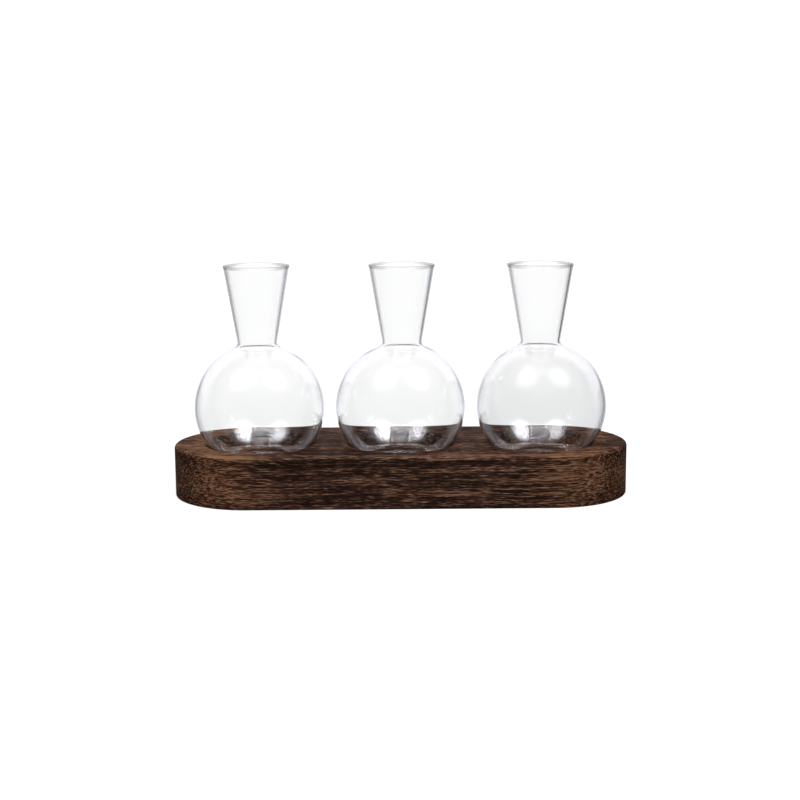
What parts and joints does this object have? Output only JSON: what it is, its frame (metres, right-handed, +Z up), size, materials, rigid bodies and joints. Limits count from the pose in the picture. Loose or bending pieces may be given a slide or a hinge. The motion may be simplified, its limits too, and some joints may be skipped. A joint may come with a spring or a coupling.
{
  "type": "propagation vase",
  "caption": "Row of clear blown-glass bulb vases with flared necks, each in a round seat of a dark wooden stand with round ends, for rooting cuttings and holding stems.",
  "frame": {"origin": "middle of the stand's underside", "axes": "+X along the row of vases, towards the right-hand one; +Y from the front to the back; +Z up, out of the vases' mouths"},
  "size_m": [0.28, 0.0964, 0.1415],
  "materials": {
    "dark_wood": "dark-stained open grain, satin",
    "clear_glass": "clear, fire-polished"
  },
  "bodies": {
    "stand_body": {"stand": "dark_wood"},
    "left_vase_body": {"vase_left": "clear_glass"},
    "middle_vase_body": {"vase_middle": "clear_glass"},
    "right_vase_body": {"vase_right": "clear_glass"}
  },
  "joints": [
    {"name": "lift_left_vase", "type": "slide", "parent": "stand_body", "child": "left_vase_body", "axis": [0, 0, 1], "range_m": [0, 0.13]},
    {"name": "lift_middle_vase", "type": "slide", "parent": "stand_body", "child": "middle_vase_body", "axis": [0, 0, 1], "range_m": [0, 0.13]},
    {"name": "lift_right_vase", "type": "slide", "parent": "stand_body", "child": "right_vase_body", "axis": [0, 0, 1], "range_m": [0, 0.13]}
  ]
}
